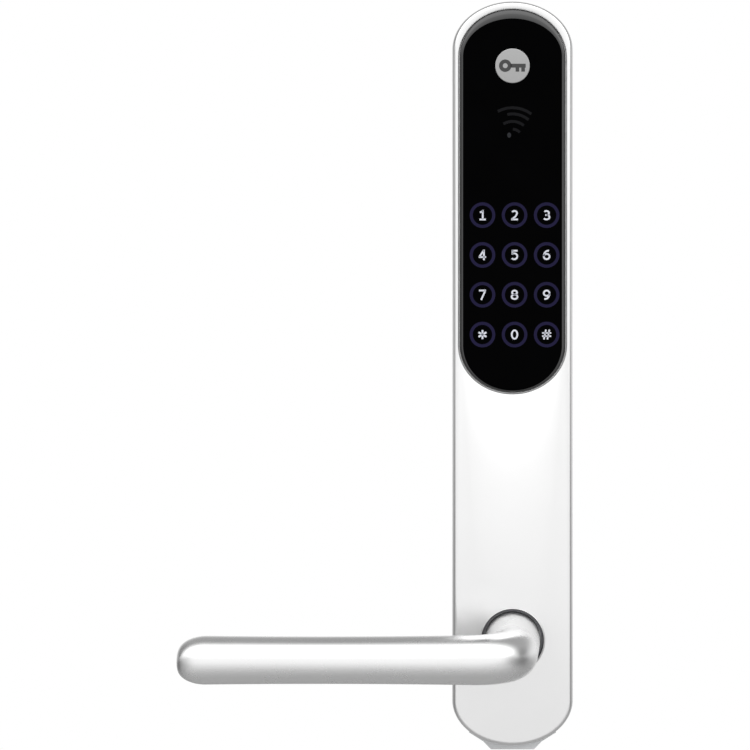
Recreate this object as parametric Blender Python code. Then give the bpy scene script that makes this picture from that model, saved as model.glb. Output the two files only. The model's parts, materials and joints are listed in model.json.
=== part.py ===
"""Outside unit of a keypad smart lock for a hinged door, with its lever and all that it holds inside.

Frame: X is to the right and Z up for a person standing outside the door, and +Y goes into the door.
The origin is the spindle's axis on the door's face, so the unit stands out towards -Y.
Dimensions are in millimetres and angles in degrees, and `metres` turns points into Blender's unit.
"""

import math

import bmesh
import bpy
from mathutils import Vector

GAP = 0.3  # clearance between two pieces that touch
OVERSHOOT = 1.0  # how far a cutter runs past the face that it opens

# Escutcheon: an upright slab with arched ends
PLATE_HALF = 23.5
PLATE_TOP = 248.1
PLATE_BOTTOM = -41.3
PLATE_TOP_RISE = 19.0  # height of the upper arched end
PLATE_LOW_RISE = 17.8
FRONT = -20.0
REAR_RIM = -1.3
EDGE_ROUND = 1.9  # how far in from the side the rounded front edge reaches
EDGE_DEPTH = 3.6  # how far back it reaches
WALL = 2.5
INNER_FRONT = -16.5  # inner face of the front wall

# Keypad panel and what sits behind it
PANEL_HALF = 20.5
PANEL_TOP = 244.3
PANEL_BOTTOM = 95.9
PANEL_RISE = 18.4
RECESS_SLACK = 0.35
RECESS_FLOOR = -17.8
PANEL_REAR = -18.8
PANEL_CROWN = -21.3
WINDOW_HALF = 18.4
WINDOW_TOP = 213.0
WINDOW_BOTTOM = 107.0
WINDOW_RADIUS = 5.0
BADGE_HEIGHT = 222.3
BADGE_RADIUS = 6.7
KEY_NAMES = ("1", "2", "3", "4", "5", "6", "7", "8", "9", "star", "0", "hash")
KEY_COLUMNS = 3
KEY_PITCH_X = 12.4
KEY_PITCH_Z = 15.38
KEYPAD_X = 0.8
KEYPAD_Z = 141.5
KEY_WINDOW_RADIUS = 4.35
BOARD_FRONT = -15.7
BOARD_REAR = -14.5

# Rear side
BACK_PLATE_FRONT = -2.0
BACK_PLATE_INSET = 2.9
GASKET_THICK = 1.0
PLATE_SCREWS = [(side * x, z) for x, z in ((13.5, 233.0), (16.5, 85.0), (16.0, -25.0)) for side in (-1, 1)]
PLATE_BOSS_RADIUS = 3.4
PLATE_SCREW_HOLE = 1.8
COVER_SCREWS = [(side * x, z) for x, z in ((15.0, 96.0), (14.0, 218.0)) for side in (-1, 1)]
COVER_BOSS_RADIUS = 3.0
COVER_SCREW_HOLE = 1.55
POSTS = {"upper": 230.0, "middle": 71.0, "lower": -26.0}
POST_RADIUS = 4.5
POST_BORE = 2.15
POST_END = 14.0
POST_BOSS_RADIUS = 6.5
POST_BOSS_REAR = -8.0
GROMMET_HEIGHT = 45.0
GROMMET_HALF_X = 7.0  # half the slot's length in the back plate
GROMMET_HALF_Z = 4.0

# Lever
HOLE_RADIUS = 12.15
COLLAR_RADIUS = 10.75
COLLAR_REAR = -15.2
HUB_RADIUS = 9.0
HUB_STEP = -5.8
TAIL_RADIUS = 7.5
TAIL_END = -0.8
GROOVE_FRONT = -2.5
GROOVE_REAR = -1.4
GROOVE_RADIUS = 6.6
GRIP_CENTRE = -61.5  # how far in front of the door the grip's centreline runs
GRIP_LENGTH = 120.4  # spindle's axis to the tip
BEND_RADIUS = 15.0
NECK_RADIUS = 9.5
GRIP_RADIUS = 8.85  # where the bend ends
WAIST_RADIUS = 8.42  # halfway along the grip
TIP_RADIUS = 8.65
TIP_ROUND = 10.0  # length of the rounded end
TIP_FLAT = 3.1  # radius of the flat on its end
SPINDLE_HALF = 4.0
SPINDLE_FRONT = -42.0
SPINDLE_END = 60.0
GRUB_DEPTH = -27.0
GRUB_RADIUS = 2.5
CASE_RADIUS = 18.0
CASE_FRONT = -14.6
CASE_REAR = -5.6
CASE_FLOOR = 1.5
CASE_WALL = 1.8
CASE_EARS = ((11.2, 18.4), (-11.2, -18.4))
EAR_RADIUS = 3.2
EAR_SCREW_HOLE = 1.6
SCREW_HEAD_REAR = -10.8  # of the screws in the cover's flange and the case's ears

# Contacts for an outside battery, at the bottom edge
CONTACT_X = 6.35
CONTACT_Y = -8.5
CONTACT_RADIUS = 1.5
CONTACT_TIP = -44.3
BLOCK_BOTTOM = -43.5
BLOCK_FOOT_HALF = 8.4
BLOCK_KNEE = (11.4, -40.4)
BLOCK_SHOULDER = (17.0, -36.9)

# Colour, roughness and metallic value of each material
FINISHES = {
    "satin_metal": ((0.78, 0.78, 0.79), 0.28, 1.0),
    "gloss_black": ((0.006, 0.006, 0.008), 0.06, 0.0),
    "black_rubber": ((0.02, 0.02, 0.02), 0.7, 0.0),
    "badge_silver": ((0.62, 0.62, 0.63), 0.35, 1.0),
    "black_plastic": ((0.03, 0.03, 0.035), 0.45, 0.0),
    "grey_plastic": ((0.62, 0.63, 0.64), 0.4, 0.0),
    "board_green": ((0.02, 0.16, 0.07), 0.4, 0.0),
    "led_lens": ((0.75, 0.8, 1.0), 0.2, 0.0),
    "copper": ((0.85, 0.42, 0.25), 0.3, 1.0),
    "zinc_steel": ((0.6, 0.6, 0.58), 0.35, 1.0),
    "spring_steel": ((0.35, 0.35, 0.36), 0.3, 1.0),
    "nickel": ((0.7, 0.68, 0.64), 0.2, 1.0),
    "nylon": ((0.05, 0.05, 0.055), 0.5, 0.0),
    "lead_red": ((0.55, 0.03, 0.03), 0.45, 0.0),
    "lead_black": ((0.02, 0.02, 0.02), 0.45, 0.0),
}


def metres(x, y, z):
    return Vector((x, y, z)) * 0.001


# Outlines: lists of (x, z), anticlockwise as seen from the front


def arch_outline(half, top, bottom, top_rise, low_rise, steps=12):
    """An upright slab with half an ellipse of the given rise at each end."""
    points = []
    for start, end_z, rise in ((0, top, top_rise), (180, bottom, -low_rise)):
        for k in range(2 * steps + 1):
            angle = math.radians(start + 90 * k / steps)
            points.append((half * math.cos(angle), end_z - rise * (1 - abs(math.sin(angle)))))
    return points


def plate_outline(inset=0.0):
    top, bottom = PLATE_TOP - inset, PLATE_BOTTOM + inset
    return arch_outline(PLATE_HALF - inset, top, bottom, PLATE_TOP_RISE - inset, PLATE_LOW_RISE - inset)


def panel_outline(inset=0.0):
    top, bottom, rise = PANEL_TOP - inset, PANEL_BOTTOM + inset, PANEL_RISE - inset
    return arch_outline(PANEL_HALF - inset, top, bottom, rise, rise)


def circle(radius, centre=(0.0, 0.0), steps=16):
    angles = [2 * math.pi * k / steps for k in range(steps)]
    return [(centre[0] + radius * math.cos(a), centre[1] + radius * math.sin(a)) for a in angles]


def hexagon(radius, steps=12):
    """A hexagon with a point at each corner and at each side's middle."""
    points = []
    for k in range(steps):
        angle = 2 * math.pi * k / steps
        reach = radius if k % 2 == 0 else radius * math.cos(math.pi / 6)
        points.append((reach * math.cos(angle), reach * math.sin(angle)))
    return points


def rounded_rectangle(left, right, bottom, top, radius, steps=4):
    corners = ((right, top, 0), (left, top, 90), (left, bottom, 180), (right, bottom, 270))
    points = []
    for x, z, start in corners:
        cx = x - math.copysign(radius, x - (left + right) / 2)
        cz = z - math.copysign(radius, z - (bottom + top) / 2)
        for k in range(steps + 1):
            angle = math.radians(start + 90 * k / steps)
            points.append((cx + radius * math.cos(angle), cz + radius * math.sin(angle)))
    return points


# Meshes


def skin(rings, ring_shaped=False):
    """Joins rings of as many points each. The ends are capped, or joined to each other if ring_shaped."""
    mesh = bmesh.new()
    loops = [[mesh.verts.new(point) for point in ring] for ring in rings]
    following = loops[1:] + (loops[:1] if ring_shaped else [])
    for near, far in zip(loops, following):
        for k in range(len(near)):
            after = (k + 1) % len(near)
            mesh.faces.new((near[k], near[after], far[after], far[k]))
    if not ring_shaped:
        mesh.faces.new(loops[0])
        mesh.faces.new(loops[-1])
    bmesh.ops.recalc_face_normals(mesh, faces=mesh.faces)
    return mesh


def stack(*levels):
    """Outlines at depths, each level an (outline, y) pair."""
    return skin([[metres(x, y, z) for x, z in outline] for outline, y in levels])


def prism(outline, front, rear):
    return stack((outline, front), (outline, rear))


def turned(profile, centre=(0.0, 0.0), steps=24):
    """A ring round the Y axis. The profile is a closed loop of (radius, y)."""
    rings = [[metres(x, y, z) for x, z in circle(radius, centre, steps)] for radius, y in profile]
    return skin(rings, ring_shaped=True)


def band(outer, inner, front, rear):
    """A flat frame between two outlines of as many points each."""
    levels = ((outer, front), (outer, rear), (inner, rear), (inner, front))
    return skin([[metres(x, y, z) for x, z in outline] for outline, y in levels], ring_shaped=True)


def box(left, right, front, rear, bottom, top):
    return prism([(right, bottom), (right, top), (left, top), (left, bottom)], front, rear)


def drum(radius, front, rear, centre=(0.0, 0.0), steps=16):
    return prism(circle(radius, centre, steps), front, rear)


# Objects


def make_materials():
    for name, (colour, roughness, metallic) in FINISHES.items():
        material = bpy.data.materials.new(name)
        material.use_nodes = True
        shader = material.node_tree.nodes["Principled BSDF"]
        shader.inputs["Base Color"].default_value = (*colour, 1.0)
        shader.inputs["Roughness"].default_value = roughness
        shader.inputs["Metallic"].default_value = metallic
        material.diffuse_color = (*colour, 1.0)


def link(name, data, parent=None, at=(0.0, 0.0, 0.0)):
    thing = bpy.data.objects.new(name, data)
    bpy.context.scene.collection.objects.link(thing)
    thing.location = metres(*at)
    thing.parent = parent
    return thing


def to_mesh(name, shape, finish=None):
    mesh = bpy.data.meshes.new(name)
    shape.to_mesh(mesh)
    shape.free()
    if finish:
        mesh.materials.append(bpy.data.materials[finish])
    mesh.shade_smooth()
    mesh.set_sharp_from_angle(angle=math.radians(35))
    return mesh


def piece(name, shape, finish, parent):
    return link(name, to_mesh(name, shape, finish), parent)


def apply_tools(target, operation, shapes):
    for shape in shapes:
        name = f"{operation.lower()}_{len(target.modifiers):02d}_{target.name}"
        tool = link(name, to_mesh(name, shape))
        tool.hide_render = True
        tool.display_type = "WIRE"
        modifier = target.modifiers.new(name, "BOOLEAN")
        modifier.operation = operation
        modifier.object = tool


def cut(target, *shapes):
    apply_tools(target, "DIFFERENCE", shapes)


def fuse(target, *shapes):
    apply_tools(target, "UNION", shapes)


# Housing and panel


def window_outline(inset=0.0):
    half = WINDOW_HALF - inset
    low, high = WINDOW_BOTTOM + inset, WINDOW_TOP - inset
    return rounded_rectangle(-half, half, low, high, WINDOW_RADIUS - inset)


def rounded_slab():
    """The escutcheon's outer shape, with a rounded front edge."""
    levels = [(plate_outline(), REAR_RIM)]
    for turn in (0.0, 22.5, 45.0, 67.5, 90.0):
        inset = EDGE_ROUND * (1 - math.cos(math.radians(turn)))
        y = FRONT + EDGE_DEPTH * (1 - math.sin(math.radians(turn)))
        levels.append((plate_outline(inset), y))
    return stack(*levels)


def housing_shell(parent):
    shell = piece("housing_shell", rounded_slab(), "satin_metal", parent)
    cut(shell, prism(plate_outline(WALL), INNER_FRONT, OVERSHOOT))
    root = INNER_FRONT - 0.5  # the bosses start inside the front wall
    for centre in PLATE_SCREWS:
        fuse(shell, drum(PLATE_BOSS_RADIUS, root, BACK_PLATE_FRONT - GAP, centre, 12))
    for centre in COVER_SCREWS:
        fuse(shell, drum(COVER_BOSS_RADIUS, root, BOARD_REAR, centre, 12))
    for height in POSTS.values():
        fuse(shell, drum(POST_BOSS_RADIUS, root, POST_BOSS_REAR, (0.0, height), 20))
    for centre in CASE_EARS:
        fuse(shell, drum(EAR_RADIUS, root, CASE_FRONT - GAP, centre, 12))
    recess = panel_outline(-RECESS_SLACK)
    cut(shell, prism(recess, FRONT - OVERSHOOT, RECESS_FLOOR))
    cut(shell, prism(window_outline(), RECESS_FLOOR - OVERSHOOT, INNER_FRONT + OVERSHOOT))
    cut(shell, drum(HOLE_RADIUS, FRONT - OVERSHOOT, INNER_FRONT + OVERSHOOT, steps=32))
    for centre in PLATE_SCREWS:
        cut(shell, drum(PLATE_SCREW_HOLE, -12.0, REAR_RIM, centre, 8))
    for centre in COVER_SCREWS:
        cut(shell, drum(COVER_SCREW_HOLE, -17.2, BOARD_REAR + OVERSHOOT, centre, 8))
    for height in POSTS.values():
        cut(shell, drum(POST_RADIUS + GAP, INNER_FRONT + 0.2, POST_BOSS_REAR + 1.0, (0.0, height), 16))
    for centre in CASE_EARS:
        cut(shell, drum(EAR_SCREW_HOLE, -18.4, CASE_FRONT + OVERSHOOT, centre, 8))
    # A slot through the lower wall for the terminal block's stem
    half, front, rear = CONTACT_X + 2.55, CONTACT_Y - 4.8, CONTACT_Y + 4.8
    cut(shell, box(-half, half, front, rear, PLATE_BOTTOM - OVERSHOOT, PLATE_BOTTOM + 5.0))
    return shell


def keypad_panel(parent):
    dome = ((0.0, 0.0), (0.0, 1.2), (0.5, 1.75), (1.3, 2.1), (2.6, 2.35), (4.6, 2.5))
    levels = [(panel_outline(inset), PANEL_REAR - rise) for inset, rise in dome]
    panel = piece("keypad_panel", stack(*levels), "gloss_black", parent)
    pocket = (0.0, BADGE_HEIGHT)
    cut(panel, drum(BADGE_RADIUS + GAP, PANEL_CROWN - OVERSHOOT, PANEL_CROWN + 0.8, pocket, 32))
    return panel


def panel_seal(parent):
    ring = band(panel_outline(0.5), panel_outline(1.5), PANEL_REAR + GAP, RECESS_FLOOR - GAP)
    return piece("panel_seal", ring, "black_rubber", parent)


def badge_disc(parent):
    rear = PANEL_CROWN + 0.5
    centre = (0.0, BADGE_HEIGHT)
    rim = circle(BADGE_RADIUS, centre, 32)
    face = circle(BADGE_RADIUS - 0.3, centre, 32)
    disc = stack((rim, rear), (rim, PANEL_CROWN), (face, PANEL_CROWN - 0.2))
    return piece("badge_disc", disc, "badge_silver", parent)


# Electronics


def key_centres():
    """Each key's name and the middle of its ring, row by row from the top left."""
    rows = len(KEY_NAMES) // KEY_COLUMNS
    for k, name in enumerate(KEY_NAMES):
        row, column = divmod(k, KEY_COLUMNS)
        x = KEYPAD_X + (column - (KEY_COLUMNS - 1) / 2) * KEY_PITCH_X
        yield name, (x, KEYPAD_Z + ((rows - 1) / 2 - row) * KEY_PITCH_Z)


def light_mask(parent):
    """Keeps each key's light to its own round window."""
    front, rear = PANEL_REAR + GAP, BOARD_FRONT - GAP
    low, high = KEYPAD_Z - 30.8, KEYPAD_Z + 30.8
    half = WINDOW_HALF - GAP
    slab = prism(rounded_rectangle(-half, half, low, high, 3.5, 3), front, rear)
    mask = piece("light_mask", slab, "black_plastic", parent)
    for _, centre in key_centres():
        cut(mask, drum(KEY_WINDOW_RADIUS, front - OVERSHOOT, rear + OVERSHOOT, centre, 12))
    return mask


def key_leds(parent):
    rear = BOARD_FRONT - GAP
    mesh = to_mesh("key_led", box(-1.0, 1.0, -0.8, 0.0, -0.6, 0.6), "led_lens")
    for name, (x, z) in key_centres():
        link(f"key_led_{name}", mesh, parent, (x, rear, z))


def touch_board(parent):
    half = WINDOW_HALF + 1.0
    outline = rounded_rectangle(-half, half, WINDOW_BOTTOM - 3.0, WINDOW_TOP + 2.0, 2.0, 3)
    return piece("touch_board", prism(outline, BOARD_FRONT, BOARD_REAR), "board_green", parent)


def board_parts(parent):
    """What is soldered to the board's rear, each piece resting on it."""
    front = BOARD_REAR + GAP
    for name, (x, z), half, thick in (
        ("touch_chip", (0.7, 149.0), 4.5, 1.2),
        ("radio_chip", (0.0, 195.0), 3.0, 1.0),
        ("control_chip", (-8.0, 176.0), 5.0, 1.4),
    ):
        chip = box(x - half, x + half, front, front + thick, z - half, z + half)
        piece(name, chip, "black_plastic", parent)
    centre, thick, sound_hole = (9.0, 177.0), 3.5, 1.0
    rings = ((6.0, 0.0), (6.0, thick - 0.3), (5.6, thick), (sound_hole, thick), (sound_hole, thick - 1.2))
    buzzer = stack(*[(circle(radius, centre, 20), front + rise) for radius, rise in rings])
    piece("buzzer", buzzer, "black_plastic", parent)
    socket = piece("cable_socket", box(-7.0, 7.0, front, front + 5.0, 110.0, 116.0), "grey_plastic", parent)
    cut(socket, box(-6.0, 6.0, front + 1.2, front + 4.0, 109.0, 114.5))


def antenna(parent):
    """The card reader's coil, in front of a ferrite sheet that shields it from the board."""
    rear = BOARD_FRONT - GAP
    sheet = rounded_rectangle(-16.0, 16.0, 182.0, 211.0, 2.0, 3)
    piece("antenna_ferrite", prism(sheet, rear - 0.4, rear), "black_plastic", parent)
    outer = rounded_rectangle(-15.0, 15.0, 183.0, 210.0, 3.0, 3)
    inner = rounded_rectangle(-12.2, 12.2, 185.8, 207.2, 1.5, 3)
    coil_rear = rear - 0.4 - GAP
    piece("rfid_antenna", band(outer, inner, coil_rear - 0.6, coil_rear), "copper", parent)


def electronics_cover(parent):
    """A tray screwed over the board from behind, open at its lower end for the cables."""
    front = BOARD_REAR + GAP
    flange = rounded_rectangle(-20.2, 20.2, 92.0, 222.0, 4.0, 4)
    cover = piece("electronics_cover", prism(flange, front, front + 1.5), "black_plastic", parent)
    fuse(cover, prism(rounded_rectangle(-17.0, 17.0, 100.0, 212.5, 3.0, 4), front + 0.5, -5.0))
    cut(cover, prism(rounded_rectangle(-15.6, 15.6, 101.4, 211.1, 2.0, 4), front - 1.0, -6.4))
    cut(cover, box(-10.0, 10.0, front - 1.0, -7.6, 91.0, 103.0))
    cut(cover, *[drum(1.7, front - 1.0, front + 3.0, centre, 8) for centre in COVER_SCREWS])
    return cover


# Screws: turned pieces with a hexagonal socket, which point towards -Y with the head's rear face at y = 0


def pan_screw(shank, head, thick, length, socket):
    return stack(
        (circle(shank * 0.6, steps=12), -thick - length),
        (circle(shank, steps=12), -thick - length + 0.6),
        (circle(shank, steps=12), -thick),
        (circle(head, steps=12), -thick),
        (circle(head, steps=12), -thick * 0.35),
        (circle(head * 0.82, steps=12), 0.0),
        (hexagon(socket), 0.0),
        (hexagon(socket * 0.9), -thick * 0.6),
    )


def countersunk_screw(shank, head, depth, length, socket):
    return stack(
        (circle(shank * 0.6, steps=12), -length),
        (circle(shank, steps=12), -length + 0.6),
        (circle(shank, steps=12), -depth),
        (circle(head, steps=12), 0.0),
        (hexagon(socket), 0.0),
        (hexagon(socket * 0.9), -depth * 0.8),
    )


def screws(name, shape, finish, parent, places, rear):
    mesh = to_mesh(name, shape, finish)
    for k, (x, z) in enumerate(places, start=1):
        link(f"{name}_{k}", mesh, parent, (x, rear, z))


# Rear side


def back_plate(parent):
    outline = plate_outline(BACK_PLATE_INSET)
    plate = piece("back_plate", prism(outline, BACK_PLATE_FRONT, 0.0), "zinc_steel", parent)
    far = OVERSHOOT
    mouth = PLATE_SCREW_HOLE + 1.75  # the countersink is as deep as it is wider than the hole
    for centre in PLATE_SCREWS:
        hole, wide = circle(PLATE_SCREW_HOLE, centre, 12), circle(mouth, centre, 12)
        cut(plate, stack((hole, BACK_PLATE_FRONT - far), (hole, -1.75), (wide, 0.0), (wide, far)))
    for height in POSTS.values():
        cut(plate, drum(POST_RADIUS + GAP, BACK_PLATE_FRONT - far, far, (0.0, height), 16))
    slot = rounded_rectangle(
        -GROMMET_HALF_X,
        GROMMET_HALF_X,
        GROMMET_HEIGHT - GROMMET_HALF_Z,
        GROMMET_HEIGHT + GROMMET_HALF_Z,
        GROMMET_HALF_Z - 0.1,
        5,
    )
    cut(plate, prism(slot, BACK_PLATE_FRONT - far, far))
    cut(plate, drum(12.5, BACK_PLATE_FRONT - far, far, steps=28))
    return plate


def rear_gasket(parent):
    ring = band(plate_outline(0.3), plate_outline(BACK_PLATE_INSET - GAP), -GASKET_THICK, 0.0)
    return piece("rear_gasket", ring, "black_rubber", parent)


def fixing_posts(parent):
    """Sleeves threaded inside, which the inside unit's screws go into through the door."""
    front = INNER_FRONT + 0.5
    for name, height in POSTS.items():
        profile = (
            (POST_BORE, front),
            (POST_RADIUS, front),
            (POST_RADIUS, POST_END - 0.6),
            (POST_RADIUS - 0.6, POST_END),
            (POST_BORE + 0.5, POST_END),
            (POST_BORE, POST_END - 0.5),
        )
        piece(f"fixing_post_{name}", turned(profile, (0.0, height), 16), "zinc_steel", parent)


def grommet_level(grow):
    """The cable slot's outline, grown outwards, with as many points at any size."""
    half_x, half_z = GROMMET_HALF_X - GAP + grow, GROMMET_HALF_Z - GAP + grow
    low, high = GROMMET_HEIGHT - half_z, GROMMET_HEIGHT + half_z
    return rounded_rectangle(-half_x, half_x, low, high, half_z - 0.1, 5)


def cable_grommet(parent):
    """A rubber ring round the cable's slot, with a lip on the inner side of the back plate."""
    bore, body, lip = grommet_level(-0.9), grommet_level(0.0), grommet_level(1.2)
    rear, front = BACK_PLATE_FRONT - GAP, BACK_PLATE_FRONT - GAP - 1.2  # the lip's two faces
    levels = ((bore, 0.0), (body, 0.0), (body, rear), (lip, rear), (lip, front), (bore, front))
    rings = [[metres(x, y, z) for x, z in outline] for outline, y in levels]
    return piece("cable_grommet", skin(rings, ring_shaped=True), "black_rubber", parent)


# Battery contacts


def terminal_block(parent):
    """A plastic lip under the arched end, which clips through the wall and carries the contacts."""
    half, shoulder = BLOCK_SHOULDER
    right_side = [(BLOCK_FOOT_HALF, BLOCK_BOTTOM), BLOCK_KNEE, BLOCK_SHOULDER, (half, shoulder + 2.2)]
    lip = right_side + [(-x, z) for x, z in reversed(right_side)]
    block = piece("terminal_block", prism(lip, -14.5, -2.4), "grey_plastic", parent)
    cut(block, prism(plate_outline(-GAP), -16.0, 0.0))
    stem, clip = CONTACT_X + 2.15, CONTACT_X + 4.65
    fuse(block, box(-stem, stem, CONTACT_Y - 4.4, CONTACT_Y + 4.4, BLOCK_BOTTOM + 0.6, -34.7))
    fuse(block, box(-clip, clip, CONTACT_Y - 3.9, CONTACT_Y + 3.9, -35.5, -34.2))
    for side in (-1, 1):
        hole = upright_drum(CONTACT_RADIUS + GAP, CONTACT_TIP - OVERSHOOT, -33.1, side * CONTACT_X, CONTACT_Y)
        cut(block, hole)
    return block


def upright_drum(radius, low, high, x, y, steps=12):
    rings = []
    for z in (low, high):
        rings.append([metres(x + px, y + py, z) for px, py in circle(radius, steps=steps)])
    return skin(rings)


def battery_contacts(parent):
    """Pins with a chamfered tip, which stand out of the terminal block's lower face."""
    wide, low = CONTACT_RADIUS, CONTACT_TIP
    levels = ((wide - 0.6, low), (wide, low + 0.3), (wide, -33.9))
    for name, side in (("left", -1), ("right", 1)):
        rings = []
        for radius, z in levels:
            around = circle(radius, (side * CONTACT_X, CONTACT_Y), 12)
            rings.append([metres(x, y, z) for x, y in around])
        piece(f"battery_contact_{name}", skin(rings), "nickel", parent)


def smooth_route(points, per_span=4):
    """Points along a Catmull-Rom curve through the given ones."""
    knots = [Vector(p) for p in (points[0], *points, points[-1])]
    route = []
    for a, b, c, d in zip(knots, knots[1:], knots[2:], knots[3:]):
        for k in range(per_span):
            t = k / per_span
            bend = 2 * a - 5 * b + 4 * c - d
            route.append(0.5 * (2 * b + (c - a) * t + bend * t**2 + (3 * b - a - 3 * c + d) * t**3))
    return [*route, knots[-1]]


def wire(name, points, radius, finish, parent):
    """A round wire along points, as a curve with closed ends."""
    curve = bpy.data.curves.new(name, "CURVE")
    curve.dimensions = "3D"
    curve.bevel_depth = radius * 0.001
    curve.bevel_resolution = 2
    curve.use_fill_caps = True
    curve.materials.append(bpy.data.materials[finish])
    spline = curve.splines.new("POLY")
    spline.points.add(len(points) - 1)
    for target, point in zip(spline.points, points):
        target.co = (*metres(*point), 1.0)
    return link(name, curve, parent)


def contact_leads(parent):
    """From each contact round the spring case, up beside the posts and into the electronics cover."""
    shared = ((9.6, -22.5), (13.8, -17.4), (18.2, -10.0), (19.5, 0.0), (19.3, 10.0), (17.5, 26.0))
    climb = ((14.5, 45.0), (11.5, 63.0), (9.8, 79.0), (8.0, 93.0))
    right = [(CONTACT_X, CONTACT_Y, -33.5), (CONTACT_X + 0.6, -8.9, -32.3), (9.4, -9.6, -28.5)]
    left = [(-CONTACT_X, CONTACT_Y, -33.5), (-5.4, -7.6, -33.0), (0.0, -6.4, -33.0)]
    left += [(6.0, -6.4, -32.4), (9.3, -6.6, -29.0)]
    for name, start, y, end_x, finish in (
        ("left", left, -6.9, 1.5, "lead_black"),
        ("right", right, -9.6, 5.5, "lead_red"),
    ):
        route = start + [(x, y, z) for x, z in shared + climb]
        route += [(end_x + 1.0, y - 1.5, 100.0), (end_x, y - 3.0, 104.0), (end_x, BOARD_REAR + GAP, 106.0)]
        wire(f"contact_lead_{name}", smooth_route(route, 2), 0.6, finish, parent)


# Lever and its return spring


def lever_bush(parent):
    sleeve = COLLAR_RADIUS + 0.4
    outer = HOLE_RADIUS - GAP
    flange = INNER_FRONT + GAP
    front, rear, wide = -18.4, -14.9, 15.0
    profile = ((sleeve, front), (outer, front), (outer, flange), (wide, flange), (wide, rear), (sleeve, rear))
    return piece("lever_bush", turned(profile, steps=28), "nylon", parent)


def spring_case(parent):
    """A cup behind the front wall, with an ear for each screw and a rib for each of the spring's legs."""
    floor = CASE_FRONT + CASE_FLOOR
    case = piece("spring_case", drum(CASE_RADIUS, CASE_FRONT, CASE_REAR, steps=32), "zinc_steel", parent)
    for x, z in CASE_EARS:
        toward, reach = math.degrees(math.atan2(z, x)), math.hypot(x, z)
        fuse(case, drum(EAR_RADIUS, CASE_FRONT, floor, (x, z), 12))
        fuse(case, polar_block(CASE_RADIUS - 1.0, reach, toward - 7, toward + 7, CASE_FRONT, floor))
    cut(case, drum(CASE_RADIUS - CASE_WALL, floor, 0.0, steps=32))
    for start in (62.0, 290.0):
        fuse(case, polar_block(13.4, CASE_RADIUS - 1.0, start, start + 12.0, floor - 0.5, -8.0))
    cut(case, drum(HUB_RADIUS + 0.4, CASE_FRONT - 1.0, floor + 1.0, steps=28))
    cut(case, *[drum(1.7, CASE_FRONT - 1.0, floor + 1.0, ear, 8) for ear in CASE_EARS])
    return case


def polar_block(inner, outer, start, end, front, rear):
    """A block between two radii and two angles about the spindle's axis."""
    points = []
    for radius, first, last in ((outer, start, end), (inner, end, start)):
        for k in range(3):
            angle = math.radians(first + (last - first) * k / 2)
            points.append((radius * math.cos(angle), radius * math.sin(angle)))
    return prism(points, front, rear)


def spring_case_cover(parent):
    front = CASE_REAR + GAP
    hole = TAIL_RADIUS + 0.4
    profile = ((hole, front), (CASE_RADIUS, front), (CASE_RADIUS, front + 1.3), (hole, front + 1.3))
    return piece("spring_case_cover", turned(profile, steps=32), "zinc_steel", parent)


def return_spring(parent):
    """A coil round the hub with a leg at each end, which point outwards."""
    mean, leg_end, turns, first_angle = 11.5, 14.8, 2.5, 100.0
    start_y, end_y = -8.4, -12.2
    steps = 40
    points = []
    for k in range(steps + 1):
        share = k / steps
        angle = math.radians(first_angle + 360 * turns * share)
        y = start_y + (end_y - start_y) * share
        points.append((mean * math.cos(angle), y, mean * math.sin(angle)))
    for index, at in ((0, first_angle), (len(points) + 1, first_angle + 360 * turns)):
        x, y, z = points[0 if index == 0 else -1]
        reach = leg_end / mean
        points.insert(index, (x * reach, y, z * reach))
    return wire("return_spring", points, 0.6, "spring_steel", parent)


def spring_driver(parent):
    """A disc fixed to the hub. Its lug pushes the spring's free leg when the lever goes down."""
    front, rear = -7.1, HUB_STEP - 0.1
    hole = HUB_RADIUS + GAP
    profile = ((hole, front), (13.0, front), (13.0, rear), (hole, rear))
    driver = piece("spring_driver", turned(profile, steps=28), "zinc_steel", parent)
    fuse(driver, polar_block(12.6, 15.6, 81.0, 93.0, -11.6, rear))
    return driver


def thrust_washer(parent):
    profile = ((TAIL_RADIUS + GAP, -3.5), (11.0, -3.5), (11.0, -2.8), (TAIL_RADIUS + GAP, -2.8))
    return piece("thrust_washer", turned(profile), "nylon", parent)


def circlip(parent):
    """An open snap ring in the hub's groove."""
    inner, outer, front, rear = GROOVE_RADIUS + 0.3, 9.6, GROOVE_FRONT + 0.2, GROOVE_REAR - 0.2
    profile = ((inner, front), (outer, front), (outer, rear), (inner, rear))
    ring = piece("circlip", turned(profile), "spring_steel", parent)
    cut(ring, box(-2.0, 2.0, front - OVERSHOOT, rear + OVERSHOOT, -12.0, -5.0))
    return ring


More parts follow.
